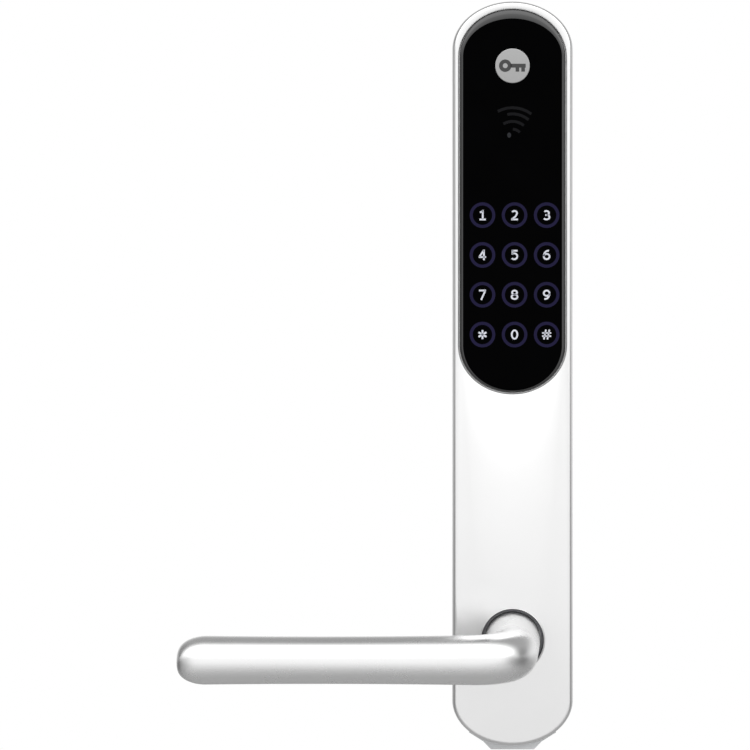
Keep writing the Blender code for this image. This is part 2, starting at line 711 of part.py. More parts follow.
def lever_stations():
    """The lever's rings from the tail just inside the back plate to the tip: (centre, direction, radius)."""
    back = (0.0, -1.0)  # the neck runs towards -Y, and the grip towards -X
    turned_part = (
        (TAIL_END, TAIL_RADIUS - 0.4),
        (GROOVE_REAR + 0.2, TAIL_RADIUS),
        (GROOVE_REAR, TAIL_RADIUS),
        (GROOVE_REAR, GROOVE_RADIUS),
        (GROOVE_FRONT, GROOVE_RADIUS),
        (GROOVE_FRONT, TAIL_RADIUS),
        (HUB_STEP, TAIL_RADIUS),
        (HUB_STEP, HUB_RADIUS),
        (COLLAR_REAR, HUB_RADIUS),
        (COLLAR_REAR, COLLAR_RADIUS),
        (FRONT - 1.0, COLLAR_RADIUS),
    )
    for y, radius in turned_part:
        yield (0.0, y), back, radius
    neck_end = GRIP_CENTRE + BEND_RADIUS
    yield (0.0, (FRONT - 1.0 + neck_end) / 2), back, (COLLAR_RADIUS + NECK_RADIUS) / 2
    bend_steps = 8
    for k in range(bend_steps + 1):
        turn = math.pi / 2 * k / bend_steps
        centre = (-BEND_RADIUS * (1 - math.cos(turn)), neck_end - BEND_RADIUS * math.sin(turn))
        along = (-math.sin(turn), -math.cos(turn))
        yield centre, along, NECK_RADIUS + (GRIP_RADIUS - NECK_RADIUS) * k / bend_steps
    straight_end = -(GRIP_LENGTH - TIP_ROUND)
    for share, radius in ((0.25, 8.56), (0.5, WAIST_RADIUS), (0.75, 8.46), (1.0, TIP_RADIUS)):
        x = -BEND_RADIUS + (straight_end + BEND_RADIUS) * share
        yield (x, GRIP_CENTRE), (-1.0, 0.0), radius
    tip_steps = 5
    for k in range(1, tip_steps + 1):
        turn = math.pi / 2 * k / tip_steps
        radius = TIP_FLAT + (TIP_RADIUS - TIP_FLAT) * math.cos(turn)
        yield (straight_end - TIP_ROUND * math.sin(turn), GRIP_CENTRE), (-1.0, 0.0), radius


def lever_handle(parent):
    rings = []
    for (cx, cy), (dx, dy), radius in lever_stations():
        ring = []
        for across, up in circle(radius, steps=24):
            ring.append(metres(cx - dy * across, cy + dx * across, up))
        rings.append(ring)
    handle = piece("lever_handle", skin(rings), "satin_metal", parent)
    half = SPINDLE_HALF + GAP
    cut(handle, box(-half, half, SPINDLE_FRONT - GAP, OVERSHOOT, -half, half))
    cut(handle, upright_drum(GRUB_RADIUS + GAP, -NECK_RADIUS - OVERSHOOT, 0.0, 0.0, GRUB_DEPTH))
    return handle


def spindle(parent):
    """A square bar with its ends chamfered."""
    levels = []
    wide = SPINDLE_HALF
    front, rear = SPINDLE_FRONT, SPINDLE_END
    for half, y in ((wide - 0.8, front), (wide, front + 0.8), (wide, rear - 1.0), (wide - 1.0, rear)):
        levels.append(([(half, -half), (half, half), (-half, half), (-half, -half)], y))
    return piece("spindle", stack(*levels), "zinc_steel", parent)


def grub_screw(parent):
    """Clamps the lever on its spindle, from under the neck."""
    low, high, socket_end = -9.3, -SPINDLE_HALF - GAP, -7.4
    levels = (
        (circle(GRUB_RADIUS - 0.8, steps=12), high),
        (circle(GRUB_RADIUS, steps=12), high - 0.8),
        (circle(GRUB_RADIUS, steps=12), low),
        (hexagon(1.45), low),
        (hexagon(1.3), socket_end),
    )
    rings = [[metres(x, GRUB_DEPTH + y, z) for x, y in outline] for outline, z in levels]
    return piece("grub_screw", skin(rings), "spring_steel", parent)


def build_escutcheon(parent):
    housing_shell(parent)
    keypad_panel(parent)
    panel_seal(parent)
    badge_disc(parent)
    light_mask(parent)
    key_leds(parent)
    touch_board(parent)
    board_parts(parent)
    antenna(parent)
    electronics_cover(parent)
    pan = pan_screw(1.25, 2.4, 1.6, 4.4, 1.1)
    screws("cover_screw", pan, "zinc_steel", parent, COVER_SCREWS, SCREW_HEAD_REAR)
    back_plate(parent)
    rear_gasket(parent)
    sunk = countersunk_screw(1.45, 3.0, 1.6, 9.5, 1.3)
    screws("back_plate_screw", sunk, "zinc_steel", parent, PLATE_SCREWS, -0.15)
    fixing_posts(parent)
    cable_grommet(parent)
    lever_bush(parent)
    spring_case(parent)
    spring_case_cover(parent)
    pan = pan_screw(1.3, 2.7, 2.0, 5.0, 1.2)
    screws("spring_case_screw", pan, "zinc_steel", parent, CASE_EARS, SCREW_HEAD_REAR)
    return_spring(parent)
    terminal_block(parent)
    battery_contacts(parent)
    contact_leads(parent)


def build_lever(parent):
    lever_handle(parent)
    spindle(parent)
    grub_screw(parent)
    circlip(parent)
    thrust_washer(parent)
    spring_driver(parent)


def main():
    for old in list(bpy.data.objects):
        bpy.data.objects.remove(old, do_unlink=True)
    make_materials()
    escutcheon = link("escutcheon_origin", None)
    lever_pivot = link("lever_pivot", None, escutcheon)
    build_escutcheon(escutcheon)
    build_lever(lever_pivot)


main()
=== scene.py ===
"""Looks of a keypad smart lock's outside unit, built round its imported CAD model.

Frame: X is to the right and Z up for a person outside the door, and +Y goes into the door.
The origin is the spindle's axis on the door's face. Lengths here are in millimetres and `metres` turns a
point into Blender's unit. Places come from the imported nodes, whose corners `span` gives in millimetres.
"""

import json
import math

import bmesh
import bpy
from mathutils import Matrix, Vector

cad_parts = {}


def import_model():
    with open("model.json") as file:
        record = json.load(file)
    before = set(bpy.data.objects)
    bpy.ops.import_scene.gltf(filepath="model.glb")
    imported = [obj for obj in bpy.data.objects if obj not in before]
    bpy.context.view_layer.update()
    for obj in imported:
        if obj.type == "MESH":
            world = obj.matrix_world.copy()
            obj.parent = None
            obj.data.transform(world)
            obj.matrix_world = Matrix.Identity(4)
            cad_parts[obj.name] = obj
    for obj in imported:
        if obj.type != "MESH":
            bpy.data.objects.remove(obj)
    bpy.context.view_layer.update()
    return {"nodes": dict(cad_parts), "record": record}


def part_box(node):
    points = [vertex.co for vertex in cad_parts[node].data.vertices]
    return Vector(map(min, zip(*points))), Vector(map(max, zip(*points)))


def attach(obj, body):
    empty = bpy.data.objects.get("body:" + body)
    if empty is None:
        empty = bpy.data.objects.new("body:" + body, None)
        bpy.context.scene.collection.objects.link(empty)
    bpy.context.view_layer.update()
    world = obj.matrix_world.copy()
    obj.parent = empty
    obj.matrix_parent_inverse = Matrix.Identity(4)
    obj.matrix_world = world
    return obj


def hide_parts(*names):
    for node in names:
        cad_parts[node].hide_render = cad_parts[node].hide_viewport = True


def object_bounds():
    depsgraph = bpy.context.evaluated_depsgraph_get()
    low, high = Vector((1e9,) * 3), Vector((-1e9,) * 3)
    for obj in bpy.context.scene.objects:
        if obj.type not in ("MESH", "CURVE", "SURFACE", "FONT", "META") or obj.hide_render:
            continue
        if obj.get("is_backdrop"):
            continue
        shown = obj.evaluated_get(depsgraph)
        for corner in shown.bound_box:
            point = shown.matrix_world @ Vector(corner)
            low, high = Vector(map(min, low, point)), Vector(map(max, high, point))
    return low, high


# Camera: a person's eye, about level with the middle of the plate
CAMERA_DISTANCE = 600.0  # in front of the plate's face
CAMERA_HEIGHT = 102.8
LENS = 74.36
SENSOR = 36.0
SHIFT_X = -0.18333  # the lock stands right of the middle, with its lever towards the left

# Shape values that a node's box doesn't give, the same as in the part's source
GAP = 0.3
PLATE_TOP_RISE = 19.0
PLATE_LOW_RISE = 17.8
PANEL_RISE = 18.4
EDGE_ROUND = 1.9
EDGE_DEPTH = 3.6
WALL = 2.5
INNER_FRONT = -16.5
RECESS_SLACK = 0.35
RECESS_FLOOR = -17.8
WINDOW = (-18.4, 18.4, 107.0, 213.0)
WINDOW_RADIUS = 5.0
HOLE_RADIUS = 12.15
BADGE_POCKET = 0.8
SHOULDER_WIDTHS = (1.7, 4.6, 1.1)  # of the glass, at its sides, top and bottom
SHOULDER_DROP = 1.3
SHOULDER_SHARE = 0.8  # of its width that is glossier than the face
BOSS_WALL = 1.5
POST_BOSS_RADIUS = 6.5
POST_BOSS_REAR = -8.0
SCREW_BOSS_RADIUS = 3.4
SCREW_BOSS_REAR = -2.3
LIP_FOOT_HALF = 8.4
LIP_KNEE = (11.4, -40.4)
LIP_SHOULDER = (17.0, -36.9)

# Lever
COLLAR_RADIUS = 10.75
NECK_RADIUS = 9.5
GRIP_RADIUS = 8.85  # where the bend ends
WAIST_RADIUS = 8.42  # halfway along the grip
TIP_RADIUS = 8.65
TIP_ROUND = 10.0
TIP_FLAT = 3.1
BEND_RADIUS = 15.0
TURNED_TAIL = (  # (y, radius) from the tail's end to the collar's front
    (-0.8, 7.1),
    (-1.2, 7.5),
    (-1.4, 7.5),
    (-1.4, 6.6),
    (-2.5, 6.6),
    (-2.5, 7.5),
    (-5.8, 7.5),
    (-5.8, 9.0),
    (-15.2, 9.0),
    (-15.2, COLLAR_RADIUS),
    (-21.0, COLLAR_RADIUS),
)

# Print on the glass and on the badge
PRINT_LIFT = 0.02
PRINT_THICK = 0.03
RING_OUTER = 4.95
RING_INNER = 3.75
LEGEND_STROKE = 0.66
CLOSED = 0.001  # a stroke whose ends are nearer than this is a loop
STAR_BAR = (3.5, 0.72)  # length and width
HASH_UPRIGHT = (3.9, 0.62)
HASH_LEVEL = (3.5, 0.58)
CARD_WAVES = (  # (radius, start, end), the last two in degrees
    (3.8, 42, 88),
    (6.8, 50, 121),
    (9.7, 50, 102),
    (12.1, 53, 118),
)
WAVE_STROKE = 1.1

# Studio floor
FLOOR_DROP = 420.0  # below the object
FLOOR_SOLID = 200.0  # radius where it starts to fade
FLOOR_REACH = 1100.0  # radius where it has faded out

# Light of the tent: (degrees above the horizon in front, radiance). 90 is straight up, 180 is level to
# the rear, and below the horizon the angle runs from 0 in front to -180.
TENT = (
    (-180.0, 1.0),
    (-150.0, 0.42),
    (-130.0, 0.30),
    (-95.0, 0.50),
    (-50.0, 0.78),
    (-25.0, 0.84),
    (-13.0, 0.96),
    (-7.0, 1.10),
    (0.0, 1.16),
    (10.0, 1.16),
    (20.0, 1.18),
    (32.0, 1.55),
    (42.0, 2.3),
    (66.0, 2.5),
    (80.0, 1.8),
    (92.0, 0.85),
    (104.0, 0.36),
    (140.0, 0.42),
    (180.0, 1.0),
)
TENT_PEAK = 2.5
SIDES = (  # (x of the direction, factor on the radiance)
    (-1.0, 0.40),
    (-0.85, 0.62),
    (-0.5, 1.0),
    (0.8, 1.0),
    (1.0, 0.44),
)
SHARP_ANGLE = math.radians(35)


def metres(x, y, z):
    return Vector((x, y, z)) * 0.001


def span(node):
    """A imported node's lowest and highest corners in millimetres."""
    low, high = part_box(node)
    return low * 1000, high * 1000


def middle(node):
    low, high = span(node)
    return (low + high) / 2


def half_width(node):
    low, high = span(node)
    return (high.x - low.x) / 2


# Outlines: lists of (x, z), anticlockwise as seen from the front


def arch_outline(half, top, bottom, top_rise, low_rise, steps=40):
    """An upright slab with half an ellipse of the given rise at each end."""
    points = []
    for start, end_z, rise in ((0, top, top_rise), (180, bottom, -low_rise)):
        for k in range(2 * steps + 1):
            angle = math.radians(start + 90 * k / steps)
            points.append((half * math.cos(angle), end_z - rise * (1 - abs(math.sin(angle)))))
    return points


def plate_outline(inset=0.0):
    low, high = span("housing_shell")
    rises = PLATE_TOP_RISE - inset, PLATE_LOW_RISE - inset
    return arch_outline(high.x - inset, high.z - inset, low.z + inset, *rises)


def panel_outline(side=0.0, top=None, bottom=None):
    """The panel's outline, set in by as much as side unless its ends differ."""
    top = side if top is None else top
    bottom = side if bottom is None else bottom
    low, high = span("keypad_panel")
    return arch_outline(high.x - side, high.z - top, low.z + bottom, PANEL_RISE - top, PANEL_RISE - bottom)


def circle(radius, centre=(0.0, 0.0), steps=64):
    angles = [2 * math.pi * k / steps for k in range(steps)]
    return [(centre[0] + radius * math.cos(a), centre[1] + radius * math.sin(a)) for a in angles]


def rounded_rectangle(left, right, bottom, top, radius, steps=8):
    corners = ((right, top, 0), (left, top, 90), (left, bottom, 180), (right, bottom, 270))
    points = []
    for x, z, start in corners:
        cx = x - math.copysign(radius, x - (left + right) / 2)
        cz = z - math.copysign(radius, z - (bottom + top) / 2)
        for k in range(steps + 1):
            angle = math.radians(start + 90 * k / steps)
            points.append((cx + radius * math.cos(angle), cz + radius * math.sin(angle)))
    return points


def rectangle(left, right, bottom, top):
    return [(right, bottom), (right, top), (left, top), (left, bottom)]


def quarter_round(radius, steps=10):
    """(inset, depth below the flat) from the side wall to the flat."""
    for k in range(steps + 1):
        turn = math.pi / 2 * k / steps
        yield radius * (1 - math.cos(turn)), radius * (1 - math.sin(turn))


# Mesh work


def loop(shape, outline, y):
    return [shape.verts.new(metres(x, y, z)) for x, z in outline]


def wall(shape, near, far):
    for k in range(len(near)):
        after = (k + 1) % len(near)
        shape.faces.new((near[k], near[after], far[after], far[k]))


def walls(shape, levels):
    """Joins outlines at depths, each level an (outline, y) pair, and returns the first and last loops."""
    loops = [loop(shape, outline, y) for outline, y in levels]
    for near, far in zip(loops, loops[1:]):
        wall(shape, near, far)
    return loops[0], loops[-1]


def pave(shape, *loops):
    """Fills the flat region that the first loop bounds, less the other loops inside it."""
    edges = []
    for points in loops:
        for k, vert in enumerate(points):
            pair = (points[k - 1], vert)
            edges.append(shape.edges.get(pair) or shape.edges.new(pair))
    bmesh.ops.triangle_fill(shape, use_beauty=True, use_dissolve=False, edges=edges)


def smooth(mesh):
    """Shades the mesh smooth between its sharp edges."""
    mesh.shade_smooth()
    mesh.set_sharp_from_angle(angle=SHARP_ANGLE)
    return mesh


def shell_mesh(name, shape):
    bmesh.ops.recalc_face_normals(shape, faces=shape.faces)
    mesh = bpy.data.meshes.new(name)
    shape.to_mesh(mesh)
    shape.free()
    return smooth(mesh)


def piece(name, shape, material, body, slot, *replaced):
    mesh = shell_mesh(name, shape) if isinstance(shape, bmesh.types.BMesh) else shape
    mesh.materials.append(material)
    thing = bpy.data.objects.new(name, mesh)
    bpy.context.scene.collection.objects.link(thing)
    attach(thing, body)
    if replaced:
        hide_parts(*replaced)
    return thing


def upright_drum(radius, centre, bottom, top, steps):
    """A closed upright cylinder, centred on (x, y), that serves as a cutting tool."""
    shape = bmesh.new()
    outline = circle(radius, centre, steps)
    ends = []
    for z in (bottom, top):
        ends.append([shape.verts.new(metres(x, y, z)) for x, y in outline])
    wall(shape, *ends)
    for end in ends:
        shape.faces.new(end)
    return shape


def cut_mesh(mesh, tool_shape):
    """The mesh less the tool, as a new mesh with its own sharp edges."""
    body = bpy.data.objects.new("cut_body", mesh)
    tool = bpy.data.objects.new("cut_tool", shell_mesh("cut_tool", tool_shape))
    for thing in (body, tool):
        bpy.context.scene.collection.objects.link(thing)
    modifier = body.modifiers.new("cut", "BOOLEAN")
    modifier.operation = "DIFFERENCE"
    modifier.object = tool
    graph = bpy.context.evaluated_depsgraph_get()
    made = bpy.data.meshes.new_from_object(body.evaluated_get(graph))
    for thing in (body, tool):
        bpy.data.objects.remove(thing)
    return smooth(made)


# Materials


class Finish:
    """A Principled material whose patterns follow the object's own coordinates, in metres."""

    def __init__(self, name, colour, roughness, metallic=0.0, **constants):
        self.material = bpy.data.materials.new(name)
        self.material.use_nodes = True
        self.tree = self.material.node_tree
        self.shader = self.tree.nodes["Principled BSDF"]
        self.set("Base Color", (*colour, 1.0))
        self.set("Roughness", roughness)
        self.set("Metallic", metallic)
        for socket, value in constants.items():
            self.set(socket.replace("_", " "), value)
        self.place = self.node("ShaderNodeTexCoord").outputs["Object"]

    def set(self, socket, value):
        self.shader.inputs[socket].default_value = value

    def feed(self, socket, output):
        self.tree.links.new(output, self.shader.inputs[socket])

    def node(self, kind, links=None, **values):
        made = self.tree.nodes.new(kind)
        for socket, value in values.items():
            made.inputs[socket.replace("_", " ")].default_value = value
        for socket, output in (links or {}).items():
            self.tree.links.new(output, made.inputs[socket])
        return made

    def stretched(self, scale):
        """The coordinates scaled along X, Y and Z."""
        made = self.node("ShaderNodeMapping", {"Vector": self.place})
        made.inputs["Scale"].default_value = scale
        return made.outputs["Vector"]

    def noise(self, per_metre, detail=3.0, place=None):
        links = {"Vector": place or self.place}
        return self.node("ShaderNodeTexNoise", links, Scale=per_metre, Detail=detail).outputs["Fac"]

    def cells(self, per_metre, place=None):
        made = self.node("ShaderNodeTexVoronoi", {"Vector": place or self.place}, Scale=per_metre)
        return made.outputs["Color"]

    def spread(self, value, low, high):
        """A noise value, which is mostly 0.3 to 0.7, spread from low to high."""
        made = self.node("ShaderNodeMapRange", {"Value": value}, From_Min=0.3, From_Max=0.7)
        made.inputs["To Min"].default_value = low
        made.inputs["To Max"].default_value = high
        return made.outputs["Result"]

    def tint(self, value, first, last):
        """A colour from first to last as a noise value rises."""
        made = self.node("ShaderNodeValToRGB", {"Fac": value})
        for stop, position, colour in zip(made.color_ramp.elements, (0.3, 0.7), (first, last)):
            stop.position = position
            stop.color = (*colour, 1.0)
        return made.outputs["Color"]

    def relief(self, height, strength, depth):
        """A bump of that depth in millimetres."""
        made = self.node("ShaderNodeBump", {"Height": height}, Strength=strength, Distance=depth * 0.001)
        self.feed("Normal", made.outputs["Normal"])


def shade(colour, factor):
    return tuple(channel * factor for channel in colour)


def grained(name, colour, roughness, grain, depth, metallic=0.0, vary=0.12, **constants):
    """A finish with a fine grain, cloudy gloss and a slight drift of its colour."""
    finish = Finish(name, colour, roughness, metallic, **constants)
    cloud = finish.noise(45.0, 4.0)
    finish.feed("Base Color", finish.tint(cloud, shade(colour, 1 - vary), shade(colour, 1 + vary * 0.5)))
    finish.feed("Roughness", finish.spread(finish.noise(160.0, 5.0), roughness * 0.9, roughness * 1.12))
    finish.relief(finish.noise(grain, 2.0), 0.5, depth)
    return finish


def satin_metal(name, roughness):
    """Satin chrome plate: a fine blasted grain with slight drifts of tone and gloss."""
    colour = (0.80, 0.80, 0.80)
    finish = Finish(name, colour, roughness, 1.0)
    finish.feed("Base Color", finish.tint(finish.noise(20.0, 5.0), shade(colour, 0.98), shade(colour, 1.01)))
    finish.feed("Roughness", finish.spread(finish.noise(90.0, 6.0), roughness * 0.94, roughness * 1.06))
    finish.relief(finish.noise(5200.0, 2.0), 0.2, 0.006)
    return finish.material


def gloss_black():
    finish = Finish("gloss_black", (0.0015, 0.0015, 0.002), 0.05, Specular_IOR_Level=0.85)
    haze = finish.noise(70.0, 7.0)
    finish.feed("Base Color", finish.tint(haze, (0.0010, 0.0010, 0.0014), (0.0020, 0.0020, 0.0027)))
    finish.feed("Roughness", finish.spread(haze, 0.035, 0.075))
    finish.relief(finish.noise(26.0, 2.0), 0.1, 0.01)
    return finish.material


def deep_black():
    """The glass over the keys: an anti-reflective black with the faintest haze."""
    black = (0.0004, 0.0004, 0.0005)
    finish = Finish("deep_black", black, 0.08, Specular_IOR_Level=0.01)
    haze = finish.noise(70.0, 7.0)
    finish.feed("Base Color", finish.tint(haze, shade(black, 0.8), shade(black, 1.3)))
    finish.feed("Roughness", finish.spread(haze, 0.06, 0.11))
    finish.relief(finish.noise(26.0, 2.0), 0.1, 0.01)
    return finish.material


def moulded(name, colour, roughness):
    return grained(name, colour, roughness, 2600.0, 0.02).material


def rubber():
    return grained("black_rubber", (0.02, 0.02, 0.02), 0.72, 1500.0, 0.04).material


def zinc_steel():
    """Zinc plate: spangled patches under a fine drawn grain."""
    finish = Finish("zinc_steel", (0.6, 0.6, 0.58), 0.36, 1.0)
    patches = finish.cells(260.0)
    finish.feed("Base Color", finish.tint(patches, (0.52, 0.53, 0.52), (0.66, 0.66, 0.63)))
    drawn = finish.noise(300.0, 4.0, finish.stretched((1.0, 1.0, 14.0)))
    finish.feed("Roughness", finish.spread(drawn, 0.28, 0.42))
    finish.relief(drawn, 0.3, 0.01)
    return finish.material


def spring_steel():
    finish = Finish("spring_steel", (0.35, 0.35, 0.36), 0.3, 1.0)
    oil = finish.noise(220.0, 5.0)
    finish.feed("Base Color", finish.tint(oil, (0.27, 0.27, 0.29), (0.40, 0.39, 0.38)))
    finish.feed("Roughness", finish.spread(oil, 0.22, 0.36))
    finish.relief(finish.noise(1900.0, 2.0), 0.3, 0.01)
    return finish.material


def nickel():
    finish = Finish("nickel", (0.7, 0.68, 0.64), 0.18, 1.0)
    rubbed = finish.noise(900.0, 5.0, finish.stretched((1.0, 1.0, 0.1)))
    finish.feed("Base Color", finish.tint(rubbed, (0.64, 0.62, 0.57), (0.74, 0.72, 0.68)))
    finish.feed("Roughness", finish.spread(rubbed, 0.12, 0.26))
    finish.relief(rubbed, 0.25, 0.006)
    return finish.material


def copper():
    """Windings: fine ridges that run along the coil's long sides."""
    finish = Finish("copper", (0.85, 0.42, 0.25), 0.3, 1.0)
    turns = finish.node("ShaderNodeTexWave", {"Vector": finish.place}, Scale=560.0, Distortion=0.4)
    finish.feed("Base Color", finish.tint(turns.outputs["Fac"], (0.55, 0.22, 0.11), (0.9, 0.47, 0.29)))
    finish.feed("Roughness", finish.spread(finish.noise(400.0), 0.24, 0.38))
    finish.relief(turns.outputs["Fac"], 0.6, 0.1)
    return finish.material


def circuit_board():
    """Green solder mask over raised tracks."""
    finish = Finish("circuit_board", (0.02, 0.16, 0.07), 0.35)
    tracks = finish.node("ShaderNodeTexBrick", {"Vector": finish.place}, Scale=320.0, Mortar_Size=0.06)
    finish.feed("Base Color", finish.tint(tracks.outputs["Fac"], (0.012, 0.11, 0.05), (0.04, 0.24, 0.10)))
    finish.feed("Roughness", finish.spread(finish.noise(500.0), 0.28, 0.42))
    finish.relief(tracks.outputs["Fac"], 0.5, 0.05)
    return finish.material


def key_light():
    """White print with the keys' light behind it."""
    finish = Finish("key_light", (0.56, 0.58, 0.64), 0.4, Emission_Color=(0.86, 0.88, 1.0, 1.0))
    glow = finish.noise(600.0, 3.0)
    finish.feed("Base Color", finish.tint(glow, (0.50, 0.52, 0.58), (0.60, 0.61, 0.66)))
    finish.feed("Emission Strength", finish.spread(glow, 0.02, 0.05))
    finish.relief(finish.noise(3000.0, 2.0), 0.2, 0.005)
    return finish.material


def matte_print(name, colour):
    return grained(name, colour, 0.4, 3000.0, 0.004, Specular_IOR_Level=0.05).material


def badge_silver():
    """Matte silver, spun round the disc's middle."""
    finish = Finish("badge_silver", (0.45, 0.45, 0.46), 0.42, 1.0)
    centre = middle("badge_disc") * 0.001
    shifted = finish.node("ShaderNodeMapping", {"Vector": finish.place})
    shifted.inputs["Location"].default_value = -centre
    place = shifted.outputs["Vector"]
    rings = finish.node("ShaderNodeTexWave", {"Vector": place}, Scale=900.0, Distortion=0.6)
    rings.wave_type = "RINGS"
    rings.rings_direction = "SPHERICAL"
    finish.feed("Base Color", finish.tint(rings.outputs["Fac"], (0.33, 0.33, 0.33), (0.37, 0.37, 0.37)))
    finish.feed("Roughness", finish.spread(finish.noise(700.0), 0.38, 0.48))
    finish.relief(rings.outputs["Fac"], 0.3, 0.006)
    return finish.material


def badge_print():
    return grained("badge_print", (0.03, 0.03, 0.03), 0.5, 2600.0, 0.006).material


def make_finishes():
    """A material for each of the record's slots."""
    return {
        "satin_metal": satin_metal("satin_metal", 0.31),
        "gloss_black": gloss_black(),
        "black_rubber": rubber(),
        "badge_silver": badge_silver(),
        "black_plastic": moulded("black_plastic", (0.03, 0.03, 0.035), 0.45),
        "grey_plastic": moulded("grey_plastic", (0.60, 0.61, 0.62), 0.42),
        "circuit_board": circuit_board(),
        "key_light": key_light(),
        "copper": copper(),
        "zinc_steel": zinc_steel(),
        "spring_steel": spring_steel(),
        "nickel": nickel(),
        "dark_nylon": moulded("dark_nylon", (0.11, 0.11, 0.12), 0.5),
        "lead_red": moulded("lead_red", (0.55, 0.03, 0.03), 0.4),
        "lead_black": moulded("lead_black", (0.02, 0.02, 0.02), 0.4),
    }


def dress_packed_nodes(frame, finishes):
    for part in frame["record"]["subparts"]:
        mesh = frame["nodes"][part["node"]].data
        mesh.materials.clear()
        mesh.materials.append(finishes[part["material_slot"]])


# Housing


def boss(shape, radius, front, rear, node):
    """A hollow boss behind the front wall, round a packed screw or post."""
    at = middle(node)
    centre = (at.x, at.z)
    outer, inner = circle(radius, centre, 32), circle(radius - BOSS_WALL, centre, 32)
    walls(shape, ((outer, front), (outer, rear), (inner, rear), (inner, front)))


def housing_skin(finishes):
    """The metal shell: a rounded front edge, the panel's recess and window, and the lever's hole."""
    low, high = span("housing_shell")
    front, rear = low.y, high.y
    flat = 0.15  # strip of face between a round and the paved middle
    shape = bmesh.new()
    outside = [(plate_outline(), rear)]
    slope = EDGE_DEPTH / EDGE_ROUND
    for inset, depth in quarter_round(EDGE_ROUND, 14):
        outside.append((plate_outline(inset), front + depth * slope))
    rim, face = walls(shape, [*outside, (plate_outline(EDGE_ROUND + flat), front)])
    lip = 0.25  # radius of the recess edge's small round
    recess = [(panel_outline(-RECESS_SLACK - lip - flat), front)]
    for depth, inset in quarter_round(lip, 4):
        recess.append((panel_outline(-RECESS_SLACK - lip + inset), front + lip - depth))
    recess_mouth, recess_floor = walls(shape, [*recess, (panel_outline(-RECESS_SLACK), RECESS_FLOOR)])
    window = rounded_rectangle(*WINDOW, WINDOW_RADIUS)
    window_front, window_rear = walls(shape, [(window, RECESS_FLOOR), (window, INNER_FRONT)])
    mouth = 0.4  # radius of the hole edge's round
    hole = [(circle(HOLE_RADIUS + mouth + flat), front)]
    for depth, inset in quarter_round(mouth, 5):
        hole.append((circle(HOLE_RADIUS + mouth - inset), front + mouth - depth))
    hole_mouth, hole_end = walls(shape, [*hole, (circle(HOLE_RADIUS), INNER_FRONT)])
    inside = plate_outline(WALL)
    inner_rim, inner_face = walls(shape, [(inside, rear), (inside, INNER_FRONT)])
    wall(shape, rim, inner_rim)
    pave(shape, face, recess_mouth, hole_mouth)
    pave(shape, recess_floor, window_front)
    pave(shape, inner_face, window_rear, hole_end)
    for number in range(1, 7):
        boss(shape, SCREW_BOSS_RADIUS, INNER_FRONT, SCREW_BOSS_REAR, f"back_plate_screw_{number}")
    for name in ("upper", "middle", "lower"):
        boss(shape, POST_BOSS_RADIUS, INNER_FRONT, POST_BOSS_REAR, f"fixing_post_{name}")
    piece("housing_skin", shape, finishes["satin_metal"], "escutcheon", "satin_metal", "housing_shell")


# Keypad


def glass_levels(first, last, steps):
    """The glass's shoulder between two shares of its width, as outlines at depths."""
    low, _ = span("keypad_panel")
    edge = low.y + SHOULDER_DROP
    for k in range(steps + 1):
        share = first + (last - first) * k / steps
        outline = panel_outline(*(width * share for width in SHOULDER_WIDTHS))
        yield outline, edge - SHOULDER_DROP * math.sqrt(1 - (1 - share) ** 2)


def keypad_glass(finishes):
    """The black panel: a flat face with a glossier shoulder, wide at the top and narrow elsewhere."""
    low, high = span("keypad_panel")
    crown, rear = low.y, high.y
    shoulder = bmesh.new()
    chamfer = 0.3  # round the rear edge
    levels = [(panel_outline(chamfer), rear), (panel_outline(), rear - chamfer)]
    back, _ = walls(shoulder, [*levels, *glass_levels(0.0, SHOULDER_SHARE, 16)])
    shoulder.faces.new(back)
    piece("glass_shoulder", shoulder, finishes["gloss_black"], "escutcheon", "gloss_black", "keypad_panel")
    face = bmesh.new()
    _, top = walls(face, list(glass_levels(SHOULDER_SHARE, 1.0, 8)))
    at = middle("badge_disc")
    radius = half_width("badge_disc") + GAP
    centre = (at.x, at.z)
    bevel = 0.15
    pocket = [(circle(radius + bevel, centre), crown), (circle(radius, centre), crown + bevel)]
    mouth, floor = walls(face, [*pocket, (circle(radius, centre), crown + BADGE_POCKET)])
    pave(face, top, mouth)
    face.faces.new(floor)
    piece("glass_face", face, deep_black(), "escutcheon", "gloss_black", "keypad_panel")


def badge(finishes):
    """A silver disc with a small key drawn on it."""
    low, high = span("badge_disc")
    centre = x, z = (low.x + high.x) / 2, (low.z + high.z) / 2
    radius = half_width("badge_disc")
    edge, flatness = 0.3, 0.7  # the rim's round, and its depth as a share of its width
    shape = bmesh.new()
    levels = [(circle(radius, centre, 96), high.y)]
    for inset, depth in quarter_round(edge, 6):
        levels.append((circle(radius - inset, centre, 96), low.y + depth * flatness))
    back, face = walls(shape, levels)
    shape.faces.new(back)
    shape.faces.new(face)
    piece("badge_face", shape, finishes["badge_silver"], "escutcheon", "badge_silver", "badge_disc")
    key = bmesh.new()
    bow = (x - 2.8, z)
    slab(key, circle(2.4, bow, 48), low.y, hole=circle(0.95, bow, 48))
    shank, bit_width, bit_drop = 0.75, 1.4, 2.3
    slab(key, rectangle(x - 0.7, x + 5.1, z - shank, z + shank), low.y)
    for left in (x + 1.2, x + 3.4):
        slab(key, rectangle(left, left + bit_width, z - bit_drop, z - shank), low.y)
    piece("badge_key", key, badge_print(), "escutcheon", "black_plastic")


def slab(shape, outline, surface, hole=None):
    """A thin printed layer on a face at depth surface, with an optional hole through it."""
    rear = surface - PRINT_LIFT
    front = rear - PRINT_THICK
    near, far = walls(shape, [(outline, rear), (outline, front)])
    if hole is None:
        pave(shape, near)
        pave(shape, far)
        return
    inner_near, inner_far = walls(shape, [(hole, rear), (hole, front)])
    pave(shape, near, inner_near)
    pave(shape, far, inner_far)


